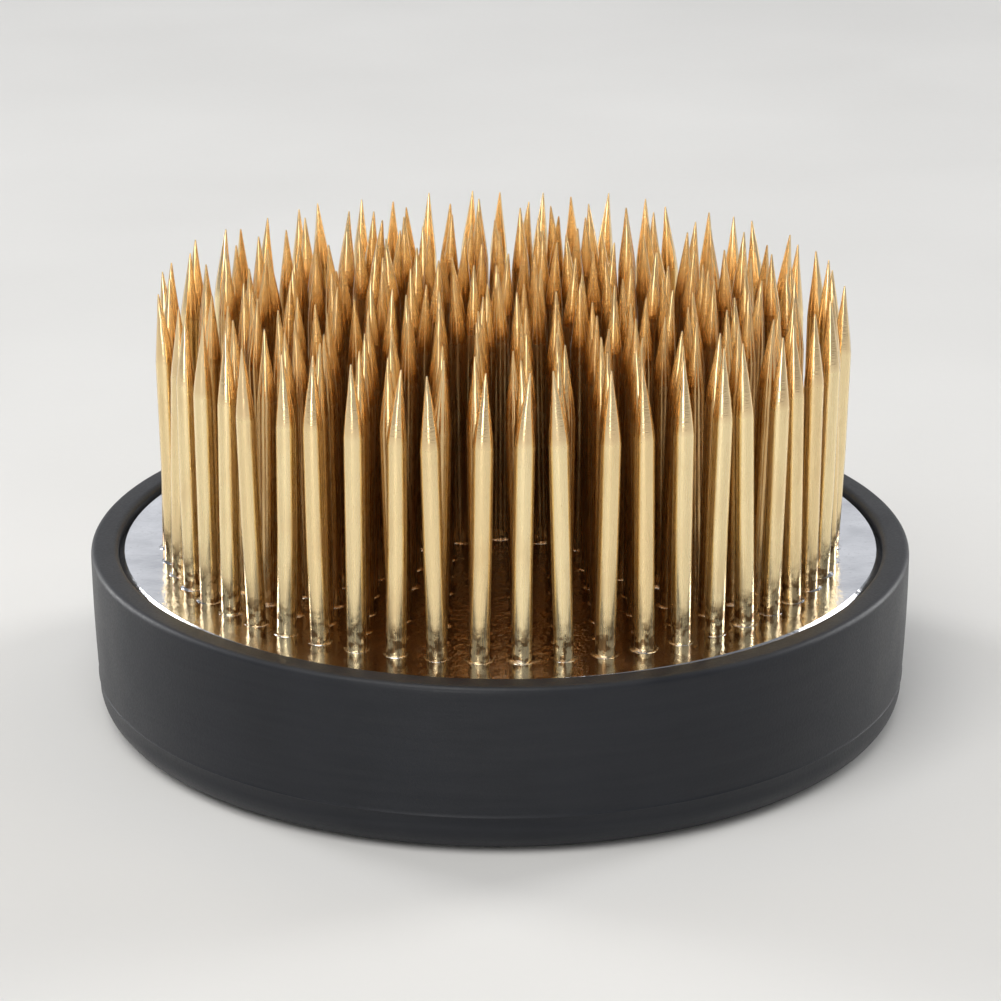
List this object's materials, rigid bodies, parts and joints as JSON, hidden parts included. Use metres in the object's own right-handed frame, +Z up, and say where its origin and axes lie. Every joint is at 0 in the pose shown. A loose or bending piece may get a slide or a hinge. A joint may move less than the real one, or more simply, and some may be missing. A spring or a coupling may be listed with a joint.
{
  "type": "flower frog",
  "caption": "Round kenzan flower frog: brass needles standing in a heavy metal disc with a soft rubber ring, to hold cut stems upright in a dish.",
  "frame": {"origin": "centre of the rubber ring's underside, on the surface the flower frog stands on", "axes": "+Z up along the axis of the disc; the disc is round, so X and Y are any two level directions, with -Y between two needles of the outermost circle"},
  "size_m": [0.054, 0.054, 0.0289],
  "materials": {
    "rubber": "matte black moulded rubber",
    "cast_weight": "bright, smooth cast white metal with a satin sheen",
    "needle_brass": "drawn brass wire, ground to a point"
  },
  "bodies": {
    "root": {"rubber_ring": "rubber", "weight": "cast_weight", "needle_centre": "needle_brass", "needles_circle_1": "needle_brass", "needles_circle_2": "needle_brass", "needles_circle_3": "needle_brass", "needles_circle_4": "needle_brass", "needles_circle_5": "needle_brass", "needles_circle_6": "needle_brass", "needles_circle_7": "needle_brass", "needles_circle_8": "needle_brass"}
  },
  "joints": []
}
